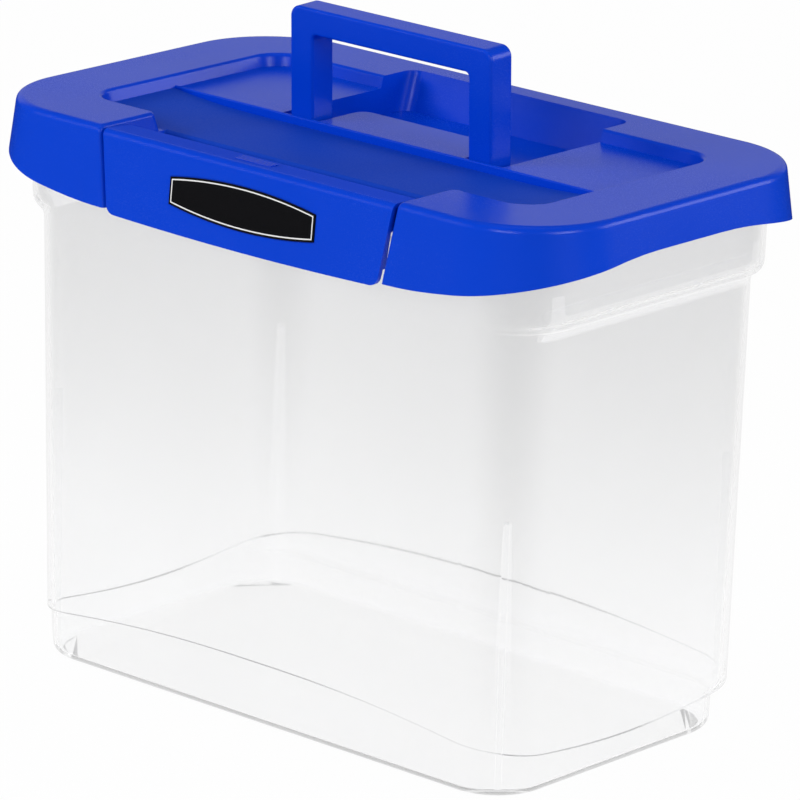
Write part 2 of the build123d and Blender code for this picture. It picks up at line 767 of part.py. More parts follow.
def label_outline(margin):
    """Sketch of the label's shape with bowed long edges, grown by a margin."""
    half_length = label_half_length + margin
    half_height = label_half_height + margin
    with BuildSketch() as outline:
        with BuildLine():
            middle = half_height + label_bow
            ThreePointArc((-half_length, half_height), (0, middle), (half_length, half_height))
            Line((half_length, half_height), (half_length, -half_height))
            ThreePointArc((half_length, -half_height), (0, -middle), (-half_length, -half_height))
            Line((-half_length, -half_height), (-half_length, half_height))
        make_face()
    return outline.sketch


label_shape = label_outline(0)
recess_shape = label_outline(label_margin)

with BuildPart() as label_pocket:
    with BuildSketch(label_plane.offset(-label_recess)):
        add(recess_shape)
    extrude(amount=2 * label_recess)

with BuildPart() as label:
    with BuildSketch(label_plane.offset(-label_recess)):
        add(label_shape)
    extrude(amount=label_thickness)
label.part.label = "label"

# ---- Latch ----
latch_corner = (skirt_front_at(latch_top), latch_top)
latch_back = (latch_rear, latch_top - latch_top_fall)
latch_inside_front = skirt_front_at(latch_top) + skin


def latch_half_width_at(height):
    """Half the latch's width at a height: the cut in the lid less the gap beside it."""
    return bay_half_width_at(height) - latch_gap


with BuildPart() as latch:
    with BuildSketch(Plane.YZ):
        with BuildLine():
            Polyline(
                (skirt_front_at(latch_lowest), latch_lowest),
                latch_corner,
                latch_back,
                (latch_rear, latch_top - latch_top_fall - skin),
                (latch_inside_front, latch_top - skin),
                (skirt_front_at(latch_lowest) + skin, latch_lowest),
                close=True,
            )
        make_face()
    extrude(amount=bay_top_half_width, both=True)
    along = latch.edges().filter_by(Axis.X)
    fillet(along.sort_by_distance((0, *latch_corner))[0], latch_edge_radius)
    along = latch.edges().filter_by(Axis.X)
    fillet(along.sort_by_distance((0, latch_inside_front, latch_top - skin))[0], latch_inner_radius)
    # End plates that carry the pins, and ribs behind the front
    for side in (1, -1):
        with BuildSketch(Plane.YZ.offset(side * (latch_end_plate - skin / 2))):
            with BuildLine():
                Polyline(
                    (skirt_front_at(latch_plate_low) + skin / 2, latch_plate_low),
                    (latch_plate_front, latch_plate_low),
                    (latch_plate_front, latch_plate_clear),
                    (latch_pivot_y, latch_pivot_z - latch_boss_radius),
                    (latch_rear, latch_pivot_z),
                    (latch_rear, latch_top - latch_top_fall - skin / 2),
                    (latch_inside_front, latch_top - skin / 2),
                    (skirt_front_at(latch_pivot_z) + skin / 2, latch_pivot_z),
                    close=True,
                )
            make_face()
            with Locations((latch_pivot_y, latch_pivot_z)):
                Circle(latch_boss_radius)
        extrude(amount=skin / 2, both=True)
    for place in latch_rib_places:
        with BuildSketch(Plane.YZ.offset(place)):
            with BuildLine():
                Polyline(
                    (skirt_front_at(latch_rib_foot) + skin / 2, latch_rib_foot),
                    (latch_plate_front, latch_rib_foot),
                    (latch_rear, latch_top - latch_top_fall - skin),
                    (latch_inside_front, latch_top - skin / 2),
                    (skirt_front_at(latch_pivot_z) + skin / 2, latch_pivot_z),
                    close=True,
                )
            make_face()
        extrude(amount=rib / 2, both=True)
    for place in hook_places:
        with BuildSketch(Plane.YZ.offset(place)):
            with BuildLine():
                hook_root = skirt_front_at(hook_height) + skin / 2
                hook_tip = skirt_front_at(hook_height) + skin + hook_depth
                Polyline(
                    (hook_root, hook_height - hook_rise),
                    (hook_tip, hook_height),
                    (hook_tip, hook_height + hook_land),
                    (hook_root, hook_height + hook_rise),
                    close=True,
                )
            make_face()
        extrude(amount=hook_width / 2, both=True)
    # Tapered outline seen from the front, with a bowed lower edge and rounded lower corners
    with BuildSketch(Plane.XZ) as front_view:
        with BuildLine():
            lower_edge = ThreePointArc(
                (latch_half_width_at(latch_bottom), latch_bottom),
                (0, latch_lowest),
                (-latch_half_width_at(latch_bottom), latch_bottom),
            )
            Polyline(
                lower_edge @ 1,
                (-latch_half_width_at(rim_top), rim_top),
                (latch_half_width_at(rim_top), rim_top),
                lower_edge @ 0,
            )
        make_face()
        fillet(front_view.vertices().group_by(Axis.Y)[0], latch_corner_radius)
    extrude(amount=reach, mode=Mode.INTERSECT)
    for side in (1, -1):
        pin_end = bay_half_width_at(latch_pivot_z) + latch_pin_reach
        with BuildSketch(Plane.YZ.offset(side * (latch_end_plate - skin / 2))):
            with Locations((latch_pivot_y, latch_pivot_z)):
                Circle(latch_pin_radius)
        extrude(amount=side * (pin_end - latch_end_plate + skin / 2))
    add(label_pocket.part, mode=Mode.SUBTRACT)
latch.part.label = "latch"

os.makedirs("parts", exist_ok=True)
export_step(tub.part, "parts/tub.step")
export_step(lid.part, "parts/lid.step")
export_step(handle.part, "parts/handle.step")
export_step(latch.part, "parts/latch.step")
export_step(label.part, "parts/label.step")
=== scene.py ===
from math import cos, radians, sin

import bmesh
import bpy
from bpy.props import FloatProperty, FloatVectorProperty, PointerProperty
from mathutils import Matrix, Vector


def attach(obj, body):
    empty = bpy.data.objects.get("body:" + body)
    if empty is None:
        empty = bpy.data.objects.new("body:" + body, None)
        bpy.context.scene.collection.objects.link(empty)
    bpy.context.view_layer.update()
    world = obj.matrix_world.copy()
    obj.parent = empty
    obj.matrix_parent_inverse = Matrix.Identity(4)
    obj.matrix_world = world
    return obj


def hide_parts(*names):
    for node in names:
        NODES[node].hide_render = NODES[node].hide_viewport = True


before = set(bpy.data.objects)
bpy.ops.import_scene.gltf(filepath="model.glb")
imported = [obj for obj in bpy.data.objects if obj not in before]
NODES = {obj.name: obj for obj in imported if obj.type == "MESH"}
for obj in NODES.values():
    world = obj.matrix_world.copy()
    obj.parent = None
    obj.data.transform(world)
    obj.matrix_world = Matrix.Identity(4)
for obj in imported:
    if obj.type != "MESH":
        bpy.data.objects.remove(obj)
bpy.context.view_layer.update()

bl_info = {
    "name": "Portable file box",
    "version": (1, 0, 0),
    "blender": (4, 5, 0),
    "location": "View3D > Sidebar > File box",
    "description": "Builds the looks of a clear file box with a blue lid, a handle and a latch",
    "category": "Object",
}

MM = 0.001

# Boxes, low corner first, round the lid's lowered panel and the latch's top, whose grain is coarser
PANEL_LOW = (-0.1386, -0.0605, 0.2640)
PANEL_HIGH = (0.1386, -0.0069, 0.26945)
LATCH_TOP_LOW = (-0.0925, -0.0990, 0.2724)
LATCH_TOP_HIGH = (0.0925, -0.0800, 0.2760)

# One quarter of the tub: boxes round its rail and its corner rib, which are kept white, without the
# painted shade
UNSHADED_PARTS = (
    ((0.0, 0.0, 0.2175), (0.1628, 0.0725, 0.2400)),
    ((0.1375, 0.0725, 0.0030), (0.1470, 0.0815, 0.1325)),
)
# Where the painted corner shade starts and is full, along x and along y
CORNER_SHADE_REACH = ((0.128, 0.152), (0.062, 0.086))
# Height at which the painted shade under the lid is full
RIM_HEIGHT = 0.25

# Return walls behind the latch's ends: middle of the front edge at the foot and at the top, and the rear
RETURN_LOW = (0.0854, -0.1027, 0.2430)
RETURN_HIGH = (0.0884, -0.1011, 0.2615)
RETURN_REAR = -0.10035
RETURN_THICKNESS = 0.0014

# Fine ribs on the latch's top
GRIP_MIDDLE = (-0.0020, -0.0925, 0.2742)
GRIP_STEPS = (-1.5, -0.5, 0.5, 1.5)
GRIP_PITCH = 1.6 * MM
GRIP_SIZE = (22 * MM, 0.7 * MM, 0.6 * MM)

# How far grain and flow marks change the roughness, and flow marks the shade
GRAIN_ROUGHNESS = 0.22
FLOW_ROUGHNESS = 0.16
FLOW_SHADE = 0.12
FLOW_SCALE = 9.0

# Grain, grain size, flow and bump depth of each moulded skin
BLUE_SKIN = (1.0, 2600.0, 1.0, 0.00003)
DULL_GRAIN = 2.0
DULL_GRAIN_SIZE = 1500.0
LATCH_TOP_ROUGHNESS = 0.95
LABEL_SKIN = (0.2, 1500.0, 0.4, 0.000005)
CLEAR_SKIN = (0.25, 900.0, 0.35)

FLOOR_SIZE = 16.0
AIM = Vector((0, 0, 0.15))
# Name, place, size and power of each lamp, and whether shiny surfaces mirror it
LAMPS = (
    ("left_softbox", (-1.75, -1.9, 1.25), (1.3, 0.6), 27.0, False),
    ("edge_softbox", (-1.75, -1.9, 1.25), (1.6, 0.9), 9.0, True),
    ("camera_softbox", (0.9, -2.7, 1.3), (1.0, 0.5), 16.0, True),
    ("right_softbox", (2.7, -0.5, 1.2), (1.2, 0.8), 22.0, True),
    ("backdrop_light", (-1.9, 2.1, 1.05), (4.4, 1.6), 8.7, True),
    ("right_back_softbox", (1.8, 2.0, 1.0), (1.2, 1.1), 19.0, True),
    ("top_softbox", (0.0, 0.0, 2.4), (1.4, 1.4), 9.0, False),
)


# ---- Settings ----
class FileBoxPlastic(bpy.types.PropertyGroup):
    """Colours and surface of the moulded plastics."""

    lid_colour: FloatVectorProperty(
        name="Lid colour",
        description="Colour of the lid, handle and latch",
        subtype="COLOR",
        size=3,
        min=0,
        max=1,
        default=(0.0, 0.048, 0.6),
    )
    lid_roughness: FloatProperty(
        name="Lid roughness",
        description="Roughness of the blue plastic's satin skin",
        min=0,
        max=1,
        default=0.24,
        subtype="FACTOR",
    )
    panel_colour: FloatVectorProperty(
        name="Panel colour",
        description="Colour of the lid's lowered front panel, whose grain is coarser",
        subtype="COLOR",
        size=3,
        min=0,
        max=1,
        default=(0.0, 0.046, 0.47),
    )
    panel_roughness: FloatProperty(
        name="Panel roughness",
        description="Roughness of the lowered panel's grain",
        min=0,
        max=1,
        default=0.68,
        subtype="FACTOR",
    )
    tub_colour: FloatVectorProperty(
        name="Tub colour",
        description="Tint of the clear plastic at its foot",
        subtype="COLOR",
        size=3,
        min=0,
        max=1,
        default=(0.985, 0.985, 0.985),
    )
    # Painted shade: the tub is drawn darker towards its rim, for the shade under the lid
    tub_rim_painted_shade: FloatVectorProperty(
        name="Tub rim colour",
        description="Tint of the clear plastic at its rim",
        subtype="COLOR",
        size=3,
        min=0,
        max=1,
        default=(0.86, 0.86, 0.86),
    )
    # Painted shade: the tub is drawn darker high up in its corners
    tub_corner_painted_shade: FloatVectorProperty(
        name="Tub corner colour",
        description="Tint of the clear plastic high up in its corners",
        subtype="COLOR",
        size=3,
        min=0,
        max=1,
        default=(0.78, 0.78, 0.78),
    )
    tub_roughness: FloatProperty(
        name="Tub roughness",
        description="Haze of the clear plastic",
        min=0,
        max=1,
        default=0.1,
        subtype="FACTOR",
    )
    border_inset: FloatProperty(
        name="Border inset",
        description="From the label's edge to its printed line",
        default=1.0 * MM,
        min=0,
        unit="LENGTH",
    )
    border_width: FloatProperty(
        name="Border width",
        description="Width of the label's printed line",
        default=0.6 * MM,
        min=0,
        unit="LENGTH",
    )


class FileBoxStage(bpy.types.PropertyGroup):
    """Camera, floor and lamps."""

    camera_place: FloatVectorProperty(
        name="Camera place",
        description="Where the camera stands, from the middle of the base",
        subtype="XYZ",
        unit="LENGTH",
        size=3,
        default=(1.908108, -2.120556, 1.00506),
    )
    azimuth: FloatProperty(
        name="Azimuth",
        description="Turn of the view about the vertical, from the front",
        subtype="ANGLE",
        default=radians(41.878),
    )
    elevation: FloatProperty(
        name="Elevation",
        description="How far the view looks down",
        subtype="ANGLE",
        default=radians(16.837),
    )
    roll: FloatProperty(
        name="Roll",
        description="Turn of the view about its own axis",
        subtype="ANGLE",
        default=radians(1.494),
    )
    focal_length: FloatProperty(
        name="Focal length",
        description="Lens, in millimetres on a 36 mm sensor",
        default=283.4,
        min=1,
    )


# ---- Materials ----
def new_material(name):
    """An empty node material with its output and one Principled shader."""
    material = bpy.data.materials.new(name)
    material.use_nodes = True
    nodes = material.node_tree.nodes
    nodes.clear()
    output = nodes.new("ShaderNodeOutputMaterial")
    shader = nodes.new("ShaderNodeBsdfPrincipled")
    material.node_tree.links.new(shader.outputs["BSDF"], output.inputs["Surface"])
    return material, shader, output


def moulded_skin_group():
    """Node group: fine spark-eroded grain and faint flow marks of moulded plastic."""
    group = bpy.data.node_groups.new("moulded_skin", "ShaderNodeTree")
    face = group.interface
    face.new_socket("Colour", in_out="INPUT", socket_type="NodeSocketColor")
    for name, default in (("Roughness", 0.4), ("Grain", 1.0), ("Grain size", 2600.0), ("Flow", 1.0)):
        face.new_socket(name, in_out="INPUT", socket_type="NodeSocketFloat").default_value = default
    face.new_socket("Colour", in_out="OUTPUT", socket_type="NodeSocketColor")
    face.new_socket("Roughness", in_out="OUTPUT", socket_type="NodeSocketFloat")
    face.new_socket("Height", in_out="OUTPUT", socket_type="NodeSocketFloat")
    nodes, links = group.nodes, group.links
    enter, leave = nodes.new("NodeGroupInput"), nodes.new("NodeGroupOutput")
    place = nodes.new("ShaderNodeTexCoord")
    grain = nodes.new("ShaderNodeTexNoise")
    grain.inputs["Detail"].default_value = 2.0
    grain.inputs["Roughness"].default_value = 0.6
    links.new(place.outputs["Object"], grain.inputs["Vector"])
    links.new(enter.outputs["Grain size"], grain.inputs["Scale"])
    cloud = nodes.new("ShaderNodeTexNoise")
    cloud.inputs["Scale"].default_value = FLOW_SCALE
    cloud.inputs["Detail"].default_value = 3.0
    links.new(place.outputs["Object"], cloud.inputs["Vector"])

    def maths(operation, first, second, clamp=False):
        node = nodes.new("ShaderNodeMath")
        node.operation = operation
        node.use_clamp = clamp
        for socket, value in zip(node.inputs, (first, second)):
            if isinstance(value, (int, float)):
                socket.default_value = value
            else:
                links.new(value, socket)
        return node.outputs[0]

    grain_off = maths("SUBTRACT", grain.outputs["Fac"], 0.5)
    cloud_off = maths("SUBTRACT", cloud.outputs["Fac"], 0.5)
    grain_step = maths("MULTIPLY", grain_off, GRAIN_ROUGHNESS)
    rough_grain = maths("MULTIPLY", grain_step, enter.outputs["Grain"])
    flow_step = maths("MULTIPLY", cloud_off, FLOW_ROUGHNESS)
    rough_cloud = maths("MULTIPLY", flow_step, enter.outputs["Flow"])
    rough = maths("ADD", maths("ADD", enter.outputs["Roughness"], rough_grain), rough_cloud, clamp=True)
    links.new(rough, leave.inputs["Roughness"])
    links.new(maths("MULTIPLY", grain.outputs["Fac"], enter.outputs["Grain"]), leave.inputs["Height"])
    shade = nodes.new("ShaderNodeHueSaturation")
    links.new(enter.outputs["Colour"], shade.inputs["Color"])
    darker = maths("MULTIPLY", maths("MULTIPLY", cloud_off, FLOW_SHADE), enter.outputs["Flow"])
    links.new(maths("ADD", 1.0, darker), shade.inputs["Value"])
    links.new(shade.outputs["Color"], leave.inputs["Colour"])
    return group


def inside_box(tree, vector, low, high):
    """Nodes that give 1 where a position lies inside a box, and 0 outside it."""
    split = tree.nodes.new("ShaderNodeSeparateXYZ")
    tree.links.new(vector, split.inputs["Vector"])
    inside = None
    for axis, least, most in zip("XYZ", low, high):
        for operation, limit in (("GREATER_THAN", least), ("LESS_THAN", most)):
            test = tree.nodes.new("ShaderNodeMath")
            test.operation = operation
            test.inputs[1].default_value = limit
            tree.links.new(split.outputs[axis], test.inputs[0])
            if inside is None:
                inside = test.outputs[0]
                continue
            both = tree.nodes.new("ShaderNodeMath")
            both.operation = "MULTIPLY"
            tree.links.new(inside, both.inputs[0])
            tree.links.new(test.outputs[0], both.inputs[1])
            inside = both.outputs[0]
    return inside


def two_grain_group(skin_group, low, high):
    """Node group: the moulded skin, with a duller and coarser grain inside one box, the panel."""
    group = bpy.data.node_groups.new("two_grain_skin", "ShaderNodeTree")
    face = group.interface
    face.new_socket("Colour", in_out="INPUT", socket_type="NodeSocketColor")
    face.new_socket("Panel colour", in_out="INPUT", socket_type="NodeSocketColor")
    for name in ("Roughness", "Grain", "Grain size", "Flow"):
        face.new_socket(name, in_out="INPUT", socket_type="NodeSocketFloat")
    for name in ("Panel roughness", "Panel grain", "Panel grain size"):
        face.new_socket(name, in_out="INPUT", socket_type="NodeSocketFloat")
    face.new_socket("Colour", in_out="OUTPUT", socket_type="NodeSocketColor")
    face.new_socket("Roughness", in_out="OUTPUT", socket_type="NodeSocketFloat")
    face.new_socket("Height", in_out="OUTPUT", socket_type="NodeSocketFloat")
    nodes, links = group.nodes, group.links
    enter, leave = nodes.new("NodeGroupInput"), nodes.new("NodeGroupOutput")
    skins = []
    for prefix in ("", "Panel "):
        skin = nodes.new("ShaderNodeGroup")
        skin.node_tree = skin_group
        for socket in ("Colour", "Roughness", "Grain", "Grain size"):
            source = prefix + (socket.lower() if prefix else socket)
            links.new(enter.outputs[source], skin.inputs[socket])
        links.new(enter.outputs["Flow"], skin.inputs["Flow"])
        skins.append(skin)
    place = nodes.new("ShaderNodeTexCoord")
    inside = inside_box(group, place.outputs["Object"], low, high)
    for socket, kind in (("Colour", "RGBA"), ("Roughness", "FLOAT"), ("Height", "FLOAT")):
        mix = nodes.new("ShaderNodeMix")
        mix.data_type = kind
        first = 6 if kind == "RGBA" else 2
        links.new(inside, mix.inputs[0])
        links.new(skins[0].outputs[socket], mix.inputs[first])
        links.new(skins[1].outputs[socket], mix.inputs[first + 1])
        links.new(mix.outputs[2 if kind == "RGBA" else 0], leave.inputs[socket])
    return group


def moulded_plastic(name, group, colour, roughness, skin_values):
    """Opaque moulded plastic with a grained skin."""
    grain, grain_size, flow, bump_depth = skin_values
    material, shader, output = new_material(name)
    nodes, links = material.node_tree.nodes, material.node_tree.links
    skin = nodes.new("ShaderNodeGroup")
    skin.node_tree = group
    skin.inputs["Colour"].default_value = (*colour, 1.0)
    skin.inputs["Roughness"].default_value = roughness
    skin.inputs["Grain"].default_value = grain
    skin.inputs["Grain size"].default_value = grain_size
    skin.inputs["Flow"].default_value = flow
    bump = nodes.new("ShaderNodeBump")
    bump.inputs["Strength"].default_value = 1.0
    bump.inputs["Distance"].default_value = bump_depth
    links.new(skin.outputs["Height"], bump.inputs["Height"])
    links.new(skin.outputs["Colour"], shader.inputs["Base Color"])
    links.new(skin.outputs["Roughness"], shader.inputs["Roughness"])
    links.new(bump.outputs["Normal"], shader.inputs["Normal"])
    shader.inputs["IOR"].default_value = 1.49
    shader.inputs["Specular IOR Level"].default_value = 0.22
    return material


def clear_skin_group(skin_group):
    """Node group: the moulded skin over painted shade that deepens from foot to rim, under the lid, and
    high up in the corners.
    """
    group = bpy.data.node_groups.new("clear_skin", "ShaderNodeTree")
    face = group.interface
    for name in ("Foot colour", "Rim painted shade", "Corner painted shade"):
        face.new_socket(name, in_out="INPUT", socket_type="NodeSocketColor")
    for name in ("Rim height", "Roughness", "Grain", "Grain size", "Flow"):
        face.new_socket(name, in_out="INPUT", socket_type="NodeSocketFloat")
    face.new_socket("Colour", in_out="OUTPUT", socket_type="NodeSocketColor")
    face.new_socket("Roughness", in_out="OUTPUT", socket_type="NodeSocketFloat")
    face.new_socket("Height", in_out="OUTPUT", socket_type="NodeSocketFloat")
    nodes, links = group.nodes, group.links
    enter, leave = nodes.new("NodeGroupInput"), nodes.new("NodeGroupOutput")
    place = nodes.new("ShaderNodeTexCoord")
    split = nodes.new("ShaderNodeSeparateXYZ")
    links.new(place.outputs["Object"], split.inputs["Vector"])
    # Painted shade: the colour darkens from the foot towards the rim, for the shade under the lid
    rise = nodes.new("ShaderNodeMapRange")
    rise.interpolation_type = "SMOOTHSTEP"
    links.new(split.outputs["Z"], rise.inputs["Value"])
    links.new(enter.outputs["Rim height"], rise.inputs["From Max"])
    rim_shaded = nodes.new("ShaderNodeMix")
    rim_shaded.data_type = "RGBA"
    links.new(rise.outputs["Result"], rim_shaded.inputs[0])
    links.new(enter.outputs["Foot colour"], rim_shaded.inputs[6])
    links.new(enter.outputs["Rim painted shade"], rim_shaded.inputs[7])
    mirrored = nodes.new("ShaderNodeVectorMath")
    mirrored.operation = "ABSOLUTE"
    links.new(place.outputs["Object"], mirrored.inputs[0])
    halves = nodes.new("ShaderNodeSeparateXYZ")
    links.new(mirrored.outputs["Vector"], halves.inputs["Vector"])
    # Painted shade: darker high up in the tub's corners, near the rim
    corner_shade_mask = rise.outputs["Result"]
    for axis, (start, end) in zip("XY", CORNER_SHADE_REACH):
        near = nodes.new("ShaderNodeMapRange")
        near.interpolation_type = "SMOOTHSTEP"
        near.inputs["From Min"].default_value = start
        near.inputs["From Max"].default_value = end
        links.new(halves.outputs[axis], near.inputs["Value"])
        both = nodes.new("ShaderNodeMath")
        both.operation = "MULTIPLY"
        links.new(corner_shade_mask, both.inputs[0])
        links.new(near.outputs["Result"], both.inputs[1])
        corner_shade_mask = both.outputs[0]
    corner = nodes.new("ShaderNodeMix")
    corner.data_type = "RGBA"
    links.new(corner_shade_mask, corner.inputs[0])
    links.new(rim_shaded.outputs[2], corner.inputs[6])
    links.new(enter.outputs["Corner painted shade"], corner.inputs[7])
    shaded_colour = corner.outputs[2]
    # The rail and the corner rib are kept white, without the painted shade
    for low, high in UNSHADED_PARTS:
        unshaded = nodes.new("ShaderNodeMix")
        unshaded.data_type = "RGBA"
        links.new(inside_box(group, mirrored.outputs["Vector"], low, high), unshaded.inputs[0])
        links.new(shaded_colour, unshaded.inputs[6])
        unshaded.inputs[7].default_value = (1, 1, 1, 1)
        shaded_colour = unshaded.outputs[2]
    skin = nodes.new("ShaderNodeGroup")
    skin.node_tree = skin_group
    links.new(shaded_colour, skin.inputs["Colour"])
    for socket in ("Roughness", "Grain", "Grain size", "Flow"):
        links.new(enter.outputs[socket], skin.inputs[socket])
    for socket in ("Colour", "Roughness", "Height"):
        links.new(skin.outputs[socket], leave.inputs[socket])
    return group


def clear_plastic(name, group, foot_colour, rim_painted_shade, corner_painted_shade, roughness):
    """Clear, slightly milky plastic that lets the lamps' light through, with painted shade towards its
    rim and corners and a painted highlight glowing at its edges.
    """
    material, shader, output = new_material(name)
    nodes, links = material.node_tree.nodes, material.node_tree.links
    skin = nodes.new("ShaderNodeGroup")
    skin.node_tree = group
    skin.inputs["Foot colour"].default_value = (*foot_colour, 1.0)
    skin.inputs["Rim painted shade"].default_value = (*rim_painted_shade, 1.0)
    skin.inputs["Corner painted shade"].default_value = (*corner_painted_shade, 1.0)
    skin.inputs["Rim height"].default_value = RIM_HEIGHT
    skin.inputs["Roughness"].default_value = roughness
    for socket, value in zip(("Grain", "Grain size", "Flow"), CLEAR_SKIN):
        skin.inputs[socket].default_value = value
    bump = nodes.new("ShaderNodeBump")
    bump.inputs["Strength"].default_value = 0.35
    bump.inputs["Distance"].default_value = 0.00002
    links.new(skin.outputs["Height"], bump.inputs["Height"])
    links.new(skin.outputs["Colour"], shader.inputs["Base Color"])
    links.new(skin.outputs["Roughness"], shader.inputs["Roughness"])
    links.new(bump.outputs["Normal"], shader.inputs["Normal"])
    shader.inputs["IOR"].default_value = 1.06
    shader.inputs["Transmission Weight"].default_value = 0.95
    through = nodes.new("ShaderNodeBsdfTransparent")
    through.inputs["Color"].default_value = (0.97, 0.975, 0.98, 1.0)
    rays = nodes.new("ShaderNodeLightPath")
    either = nodes.new("ShaderNodeMath")
    either.operation = "MAXIMUM"
    links.new(rays.outputs["Is Shadow Ray"], either.inputs[0])
    links.new(rays.outputs["Is Diffuse Ray"], either.inputs[1])
    # Painted highlight: an emission glow at grazing angles whitens the tub's edges
    slant = nodes.new("ShaderNodeLayerWeight")
    slant.inputs["Blend"].default_value = 0.5
    edge = nodes.new("ShaderNodeMath")
    edge.operation = "POWER"
    edge.inputs[1].default_value = 3.0
    links.new(slant.outputs["Facing"], edge.inputs[0])
    glow = nodes.new("ShaderNodeEmission")
    glow.inputs["Strength"].default_value = 0.97
    lit = nodes.new("ShaderNodeMixShader")
    links.new(edge.outputs[0], lit.inputs["Fac"])
    links.new(shader.outputs["BSDF"], lit.inputs[1])
    links.new(glow.outputs["Emission"], lit.inputs[2])
    mix = nodes.new("ShaderNodeMixShader")
    links.new(either.outputs[0], mix.inputs["Fac"])
    links.new(lit.outputs["Shader"], mix.inputs[1])
    links.new(through.outputs["BSDF"], mix.inputs[2])
    links.new(mix.outputs["Shader"], output.inputs["Surface"])
    return material


def dress(piece, material):
    """Gives a piece one material."""
    piece.data.materials.clear()
    piece.data.materials.append(material)


def label_with_border(inset, width, plate_material, line_material):
    """Copy of the label's solid whose border line is a narrow ring of faces in its own material."""
    node = NODES["label"]
    label = node.copy()
    label.data = node.data.copy()
    label.name = "label_plate"
    dress(label, plate_material)
    label.data.materials.append(line_material)
    bpy.context.scene.collection.objects.link(label)
    bpy.ops.object.select_all(action="DESELECT")
    label.select_set(True)
    bpy.context.view_layer.objects.active = label
    bpy.ops.object.mode_set(mode="EDIT")
    bpy.ops.mesh.select_all(action="SELECT")
    bpy.ops.mesh.remove_doubles(threshold=0.01 * MM)
    bpy.ops.mesh.select_mode(type="FACE")
    bpy.ops.mesh.select_all(action="DESELECT")
    shape = bmesh.from_edit_mesh(label.data)
    shape.normal_update()
    for face in shape.faces:
        face.select_set(face.normal.y < -0.9)
    bmesh.update_edit_mesh(label.data)
    if not any(face.select for face in shape.faces):
        raise RuntimeError("the label has no face towards the front")
    bpy.ops.mesh.inset(thickness=inset, depth=0)
    bpy.ops.mesh.inset(thickness=width, depth=0)
    shape = bmesh.from_edit_mesh(label.data)
    for face in shape.faces:
        if not face.select and any(near.select for edge in face.edges for near in edge.link_faces):
            face.material_index = 1
    bmesh.update_edit_mesh(label.data)
    bpy.ops.object.mode_set(mode="OBJECT")
    return label


def blocks(name, places, size):
    """One object of small upright blocks, drawn from cubes in edit mode."""
    bpy.ops.object.select_all(action="DESELECT")
    bpy.ops.mesh.primitive_cube_add(size=1.0, location=(0, 0, 0))
    piece = bpy.context.object
    piece.name = name
    bpy.ops.object.mode_set(mode="EDIT")
    bpy.ops.mesh.select_all(action="SELECT")
    bpy.ops.mesh.delete(type="VERT")
    for place in places:
        bpy.ops.mesh.select_all(action="DESELECT")
        bpy.ops.mesh.primitive_cube_add(size=1.0, location=place)
        bpy.ops.transform.resize(value=size, center_override=place)
    bpy.ops.mesh.select_all(action="SELECT")
    bpy.ops.mesh.normals_make_consistent(inside=False)
    bpy.ops.object.mode_set(mode="OBJECT")
    return piece


def latch_returns():
    """Walls behind both ends of the latch's plate, leaning with it, in front of the tub's flange."""
    middle_x = (RETURN_LOW[0] + RETURN_HIGH[0]) / 2
    front = (RETURN_LOW[1] + RETURN_HIGH[1]) / 2
    middle_y = (front + RETURN_REAR) / 2
    middle_z = (RETURN_LOW[2] + RETURN_HIGH[2]) / 2
    places = [(side * middle_x, middle_y, middle_z) for side in (-1, 1)]
    size = (RETURN_THICKNESS, RETURN_REAR - front, RETURN_HIGH[2] - RETURN_LOW[2])
    piece = blocks("latch_returns", places, size)
    lean_x = (RETURN_HIGH[0] - RETURN_LOW[0]) / 2
    lean_y = (RETURN_HIGH[1] - RETURN_LOW[1]) / 2
    bpy.ops.object.mode_set(mode="EDIT")
    bpy.ops.mesh.select_mode(type="VERT")
    for end in (-1, 1):
        moves = (
            (lambda co: co.x < 0, (-end * lean_x, 0, 0)),
            (lambda co: co.x > 0, (end * lean_x, 0, 0)),
            (lambda co: co.y < middle_y, (0, end * lean_y, 0)),
        )
        for chosen, shift in moves:
            bpy.ops.mesh.select_all(action="DESELECT")
            shape = bmesh.from_edit_mesh(piece.data)
            for corner in shape.verts:
                corner.select_set((corner.co.z - middle_z) * end > 0 and chosen(corner.co))
            shape.select_flush_mode()
            bmesh.update_edit_mesh(piece.data)
            bpy.ops.transform.translate(value=shift)
    bpy.ops.object.mode_set(mode="OBJECT")
    return piece


# ---- Operators ----
class FILEBOX_OT_blue_parts(bpy.types.Operator):
    """Finish the lid, handle and latch in grained blue plastic"""

    bl_idname = "filebox.blue_parts"
    bl_label = "Blue parts"

    def execute(self, context):
        plastic = context.scene.file_box_plastic
        group = moulded_skin_group()
        colour, roughness = plastic.lid_colour, plastic.lid_roughness
        blue = moulded_plastic("blue_plastic", group, colour, roughness, BLUE_SKIN)
        dress(NODES["handle"], blue)
        for name, low, high, dull_colour, dull_roughness in (
            ("lid", PANEL_LOW, PANEL_HIGH, plastic.panel_colour, plastic.panel_roughness),
            ("latch", LATCH_TOP_LOW, LATCH_TOP_HIGH, colour, LATCH_TOP_ROUGHNESS),
        ):
            two_grains = two_grain_group(group, low, high)
            skinned = moulded_plastic("blue_" + name, two_grains, colour, roughness, BLUE_SKIN)
            skin = next(node for node in skinned.node_tree.nodes if node.type == "GROUP")
            skin.inputs["Panel colour"].default_value = (*dull_colour, 1.0)
            skin.inputs["Panel roughness"].default_value = dull_roughness
            skin.inputs["Panel grain"].default_value = DULL_GRAIN
            skin.inputs["Panel grain size"].default_value = DULL_GRAIN_SIZE
            dress(NODES[name], skinned)
        return {"FINISHED"}


